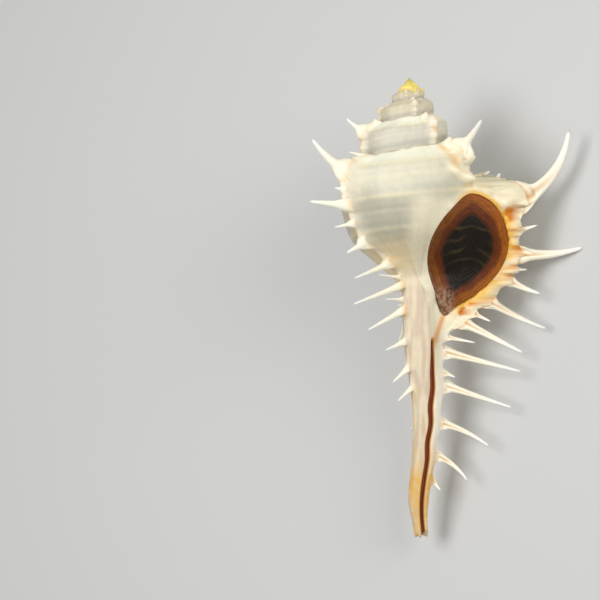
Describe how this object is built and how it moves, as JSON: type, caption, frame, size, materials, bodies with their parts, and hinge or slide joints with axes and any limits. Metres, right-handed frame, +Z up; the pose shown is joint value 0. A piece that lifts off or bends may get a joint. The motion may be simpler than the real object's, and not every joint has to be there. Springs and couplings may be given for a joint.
{
  "type": "murex shell",
  "caption": "Spiny sea snail shell with a stepped spire, spiny ribs, a long open canal and a dark horny lid closing the mouth, lying on its spines.",
  "frame": {"origin": "middle of the bounding box on the ground, under the shell", "axes": "+Y along the shell toward the tip of the spire, +Z up, +X the side that the lip and the mouth face"},
  "size_m": [0.052, 0.0904, 0.0405],
  "materials": {
    "shell": "satin, finely ridged",
    "horn": "horny, with growth rings"
  },
  "bodies": {
    "root": {"shell": "shell", "operculum": "horn"}
  },
  "joints": []
}
